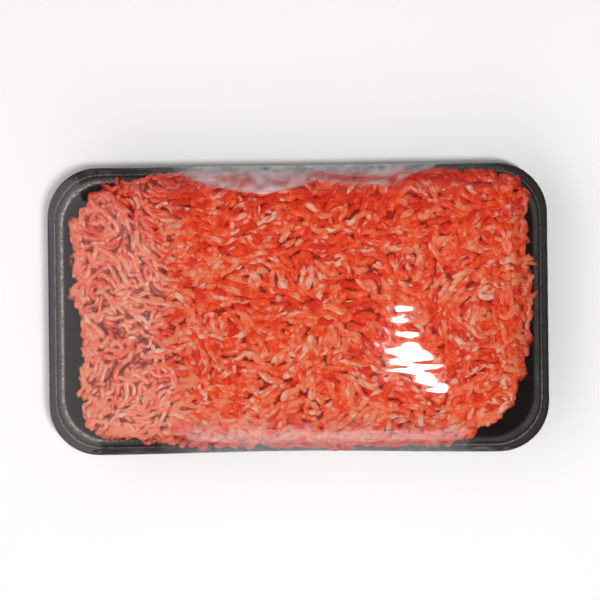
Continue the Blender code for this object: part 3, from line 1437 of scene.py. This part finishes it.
    def build_core(self) -> bpy.types.Mesh:
        """Makes the core under the strands, down to the tray's floor."""
        steps = Steps(corner=6, long=84, short=44)
        stations = self.outline.stations(steps)
        insets = [self.edge_inset(station) for station in stations]
        border = [self.outline.at(place, inset, 0.0) for place, inset in zip(stations, insets)]
        net = net_inside(border, steps)
        xs = np.array([point.x for point in net.values()])
        ys = np.array([point.y for point in net.values()])
        tops = self.ground.read(xs, ys, blur(self.core, 2))
        bottom = self.tray.foot_z + self.tray.floor + 0.2 * MM
        skin = self.tray.skin_height(np.clip(self.outline.inset_of(xs, ys), 0, 1)) + 0.3 * MM
        for point, top, low in zip(net.values(), tops, skin):
            bump = noise.noise(point / (3.2 * MM)) * 0.8 * MM
            point.z = max(top + bump, low, bottom + 1 * MM)
        shape = bmesh.new()
        edges = lay_grid(shape, steps, net)
        foot = [
            self.outline.at(place, max(inset, 20 * MM), bottom)
            for place, inset in zip(stations, insets)
        ]
        edges = draw_out(shape, edges, foot)
        bmesh.ops.contextual_create(shape, geom=edges)
        bmesh.ops.recalc_face_normals(shape, faces=shape.faces)
        mesh = mesh_of(shape, "mince_core")
        count = len(mesh.vertices)
        set_marks(mesh, "grain", positions(mesh))
        set_marks(mesh, "tone", np.full(count, 0.2))
        set_marks(mesh, "fatness", np.full(count, -0.05))
        # The whole core gets full painted shade, as it lies under the strands.
        set_marks(mesh, "depth", np.full(count, 1.0))
        set_marks(mesh, "pale", np.zeros(count))
        return mesh

    def edge_inset(self, station: Station) -> float:
        """How far the heap's edge lies from the tray's outer edge at a station, near enough."""
        for step in range(3, 60):
            inset = step * 0.5 * MM
            point = self.outline.at(station, inset, 0.0)
            i = round((point.x + self.ground.half_x) / self.cell)
            j = round((point.y + self.ground.half_y) / self.cell)
            if self.inside[i, j]:
                return inset + 2.5 * MM
        return 30 * MM

    def build(self) -> None:
        """Builds the core, then each kind of strand as one piece."""
        moist = RawMince().material("raw_mince_loose_and_moist")
        # Under the film the painted shade in the gaps is stronger.
        clung = RawMince(roughness=0.5, shine=0.0, gleam=0.12, painted_gap_shade=0.75)
        clung = clung.material("raw_mince_under_film")
        core = self.build_core()
        add_piece(core, "mince_core", clung, "mince")
        for kind, strands in self.pile().items():
            mesh = self.mesh_strands(strands, kind.value)
            finish = moist if kind is Kind.LOOSE else clung
            add_piece(mesh, kind.value, finish, "mince")


# ---------------------------------------------------------------------------- the film


@dataclass
class FilmWrap:
    """The stretch film: taut over the heap and the rim, pleated at the corners, folded under."""

    outline: Outline
    heap: MinceHeap
    steps: Steps = Steps(corner=20, long=170, short=100)
    gather: tuple[tuple[float, float], ...] = (
        (-56, 62), (-48, 58), (-36, 54), (-14, 50), (0, 53.5),
        (10, 57), (22, 54.5), (42, 54), (54, 60), (66, 64),
    )
    finish: StretchFilm = StretchFilm()

    def settle(self) -> HeightMap:
        """Stretches the film over the heap until it hangs from its high points and the rim."""
        ground = self.heap.ground
        x, y = ground.grids()
        seat = self.heap.seat_z
        inset = self.outline.inset_of(x, y)
        rim = np.where(inset < 3.6 * MM, seat, 0.0)
        meat = blur(spread(ground.z, 2), 3) + 0.15 * MM
        floor = np.maximum(rim, np.where(self.heap.nearness > 0.3, meat, 0.0))[::2, ::2]
        held = (inset < 1.0 * MM)[::2, ::2]
        film = HeightMap(ground.half_x, ground.half_y, 2 * ground.cell)
        film.z = np.where(held, seat, self.heap.dome(*film.grids()))
        for _ in range(1500):
            mean = sum(np.roll(film.z, turn, axis) for turn in (-1, 1) for axis in (0, 1)) / 4
            film.z = np.where(held, seat, np.maximum(mean, floor))
        film.z = np.where(held, seat, blur(film.z, 2))
        x, y = film.grids()
        ripple = np.array(
            [
                [
                    0.6 * noise.noise(Vector((px / (26 * MM), py / (11 * MM), 2.0)))
                    + 0.42 * noise.noise(Vector((px / (15 * MM), py / (4.4 * MM), 5.0)))
                    for py in film.y
                ]
                for px in film.x
            ]
        )
        calm = smooth_step(2 * MM, 14 * MM, self.outline.inset_of(x, y))
        film.z += ripple * calm * 0.11 * MM
        return film

    def slack(self, places: np.ndarray) -> np.ndarray:
        """Finds how milky the film is: faintly at the rim, and more in gathers along the back.

        Args:
            places: The film's points.

        Returns:
            A value for each point, from 0 where the film is taut and clear to 1.
        """
        x, y, z = places.T
        above = smooth_step(self.heap.seat_z - 3 * MM, self.heap.seat_z - 0.6 * MM, z)
        rim = 0.03 * (1 - smooth_step(1 * MM, 10 * MM, self.outline.inset_of(x, y)))
        left = 0.04 * (1 - smooth_step(-66 * MM, -34 * MM, x))
        mottle = np.array(
            [
                noise.noise(place / (4.5 * MM)) + 0.5 * noise.noise(place / (2.2 * MM))
                for place in map(Vector, places)
            ]
        )
        along, start = np.array(self.gather).T * MM
        start = np.interp(x, along, start) + 1.0 * MM * mottle
        back = smooth_step(start, start + 1.2 * MM, y)
        clear = (y - start - 3.5 * MM) / (1.2 * MM)
        back *= 1 - 0.6 * np.exp(-(clear**2)) * smooth_step(2 * MM, 12 * MM, x)
        back *= smooth_step(-56 * MM, -44 * MM, x) * (1 - smooth_step(58 * MM, 66 * MM, x))
        front = smooth_step(42 * MM, 58 * MM, 2.5 * MM * mottle - y)
        front *= smooth_step(-56 * MM, -44 * MM, x) * (1 - smooth_step(66 * MM, 84 * MM, x))
        milky = left + back * (1.05 + 0.7 * mottle) + front * (0.34 + 0.3 * mottle)
        return rim + milky * above

    def pleat(self, station: Station, depth: float) -> float:
        """How far a pleat stands out at a station.

        Args:
            station: Where around the outline.
            depth: How far down the side, from 0 at the lip to 1 at the foot.

        Returns:
            The pleat's height, which is greatest in the corners and at the foot.
        """
        turned = station.heading % (math.pi / 2)
        corner = math.sin(2 * turned) ** 2 if station.first == station.second else 0.0
        wave = noise.noise(Vector((station.heading * 9, 0.0, depth * 0.8)))
        fold = abs(wave) ** 0.7 - 0.25
        return fold * corner * 2.4 * MM * depth

    def build(self) -> bpy.types.Object:
        """Lays the film on the settled heights, then draws it down and under."""
        film = self.settle()
        seat, rim = self.heap.seat_z, self.heap.tray.rim_z
        stations = self.outline.stations(self.steps)
        net = net_inside(self.outline.ring(0.8 * MM, seat, self.steps), self.steps)
        xs = np.array([point.x for point in net.values()])
        ys = np.array([point.y for point in net.values()])
        for point, height in zip(net.values(), film.read(xs, ys)):
            point.z = height
        shape = bmesh.new()
        border = lay_grid(shape, self.steps, net)
        foot = 16.5 * MM
        side = [(0.35 * MM, seat - 0.1 * MM, 0.0), (0.0, seat - 0.5 * MM, 0.0)]
        side += [(-0.15 * MM, rim - 1.4 * MM, 0.0), (-0.2 * MM, rim - 3.6 * MM, 0.05)]
        drop = rim - 4.2 * MM
        for step in range(1, 9):
            share = step / 8
            inset = -0.2 * MM + (foot + 0.2 * MM) * share
            side.append((inset, drop * (1 - share) + 0.6 * MM * share, share))
        side += [(foot + 1.5 * MM, 0.25 * MM, 1.0), (foot + 6 * MM, 0.2 * MM, 0.6)]
        side += [(foot + 16 * MM, 0.15 * MM, 0.3), (45 * MM, 0.15 * MM, 0.0)]
        for inset, height, depth in side:
            points = []
            for station in stations:
                pleat = self.pleat(station, depth)
                under = inset > foot
                points.append(
                    self.outline.at(
                        station,
                        inset - (0 if under else pleat),
                        height + (max(pleat, 0) * 0.3 if under else 0),
                    )
                )
            border = draw_out(shape, border, points)
        bmesh.ops.recalc_face_normals(shape, faces=shape.faces)
        top = max(shape.faces, key=lambda face: face.calc_center_median().z)
        if top.normal.z < 0:
            bmesh.ops.reverse_faces(shape, faces=shape.faces)
        mesh = mesh_of(shape, "stretch_film")
        set_marks(mesh, "slack", self.slack(positions(mesh)))
        return add_piece(mesh, "stretch_film", self.finish.material(), "film")


# ---------------------------------------------------------------------------- the studio


@dataclass(frozen=True)
class Softbox:
    """A lit rectangle: its middle, the point that it faces, its sides and how bright it looks."""

    name: str
    place: tuple[float, float, float]
    aim: tuple[float, float, float]
    width: float
    height: float
    brightness: float
    colour: str = "#ffffff"

    def build(self) -> bpy.types.Object:
        """Hangs the softbox in its place."""
        light = bpy.data.lights.new(self.name, "AREA")
        light.color = linear(self.colour)[:3]
        light.shape = "RECTANGLE"
        light.size, light.size_y = self.width, self.height
        light.energy = math.pi * self.width * self.height * self.brightness
        lamp = bpy.data.objects.new(self.name, light)
        lamp.location = self.place
        towards = Vector(self.aim) - Vector(self.place)
        lamp.rotation_euler = towards.to_track_quat("-Z", "Y").to_euler()
        lamp.visible_camera = False
        bpy.context.scene.collection.objects.link(lamp)
        return lamp


@dataclass
class Studio:
    """A white paper floor, softboxes, and a camera that looks down on the pack."""

    distance: float = 0.90
    lean: float = 1.5
    roll: float = 0.65
    aim: tuple[float, float, float] = (1.2 * MM, 3.9 * MM, 28 * MM)
    view_width: float = 268.5 * MM
    ambient: float = 0.07
    softboxes: tuple[Softbox, ...] = (
        Softbox("key", (0.135, -0.089, 1.04), (0.055, -0.02, 0.04), 0.036, 0.16, 335.0),
        Softbox("left", (-0.95, -0.3, 1.25), (-0.05, 0.0, 0.03), 2.7, 1.3, 1.4, "#fff6f3"),
        Softbox("back", (0.08, 0.9, 0.75), (0.0, 0.0, 0.03), 1.0, 0.6, 0.42),
        Softbox("front", (0.03, -1.0, 0.50), (0.0, 0.0, 0.03), 0.50, 0.65, 1.7),
    )

    def build(self) -> None:
        """Sets up the floor, the lights, the camera and how the picture is developed."""
        shape = bmesh.new()
        bmesh.ops.create_grid(shape, x_segments=8, y_segments=8, size=8.0)
        mesh = mesh_of(shape, "studio_floor")
        mesh.materials.append(PaperSweep().material())
        floor = bpy.data.objects.new("studio_floor", mesh)
        bpy.context.scene.collection.objects.link(floor)
        for softbox in self.softboxes:
            softbox.build()
        world = bpy.data.worlds.new("studio_room")
        world.use_nodes = True
        room = world.node_tree.nodes["Background"]
        room.inputs["Color"].default_value = (1.0, 1.0, 1.0, 1.0)
        room.inputs["Strength"].default_value = self.ambient
        bpy.context.scene.world = world
        bpy.context.scene.view_settings.view_transform = "Standard"
        self.place_camera()

    def place_camera(self) -> None:
        """Hangs the camera over the pack, leaning a little to the left of it."""
        lens = bpy.data.cameras.new("camera")
        lens.sensor_width = 36.0
        lens.lens = lens.sensor_width * self.distance / self.view_width
        camera = bpy.data.objects.new("camera", lens)
        lean = math.radians(self.lean)
        offset = Vector((math.sin(lean), 0.0, math.cos(lean))) * self.distance
        camera.location = Vector(self.aim) + offset
        camera.rotation_euler = (0.0, lean, math.radians(-self.roll))
        bpy.context.scene.collection.objects.link(camera)
        bpy.context.scene.camera = camera


def main() -> None:
    """Builds the tray, the mince, the film and the studio, in that order."""
    logging.basicConfig(level=logging.INFO, format="%(name)s: %(message)s")
    tray_low, tray_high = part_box("tray")
    film_low, film_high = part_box("film")
    size = tray_high - tray_low
    outline = Outline(length=size.x, width=size.y)
    tray = FoamTray(outline, foot_z=tray_low.z, rim_z=tray_high.z)
    tray.build()
    heap = MinceHeap(
        outline, tray, crown_z=film_high.z - 0.4 * MM, seat_z=tray_high.z + 0.3 * MM
    )
    heap.build()
    FilmWrap(outline, heap).build()
    Studio().build()


if __name__ == "__main__":
    main()
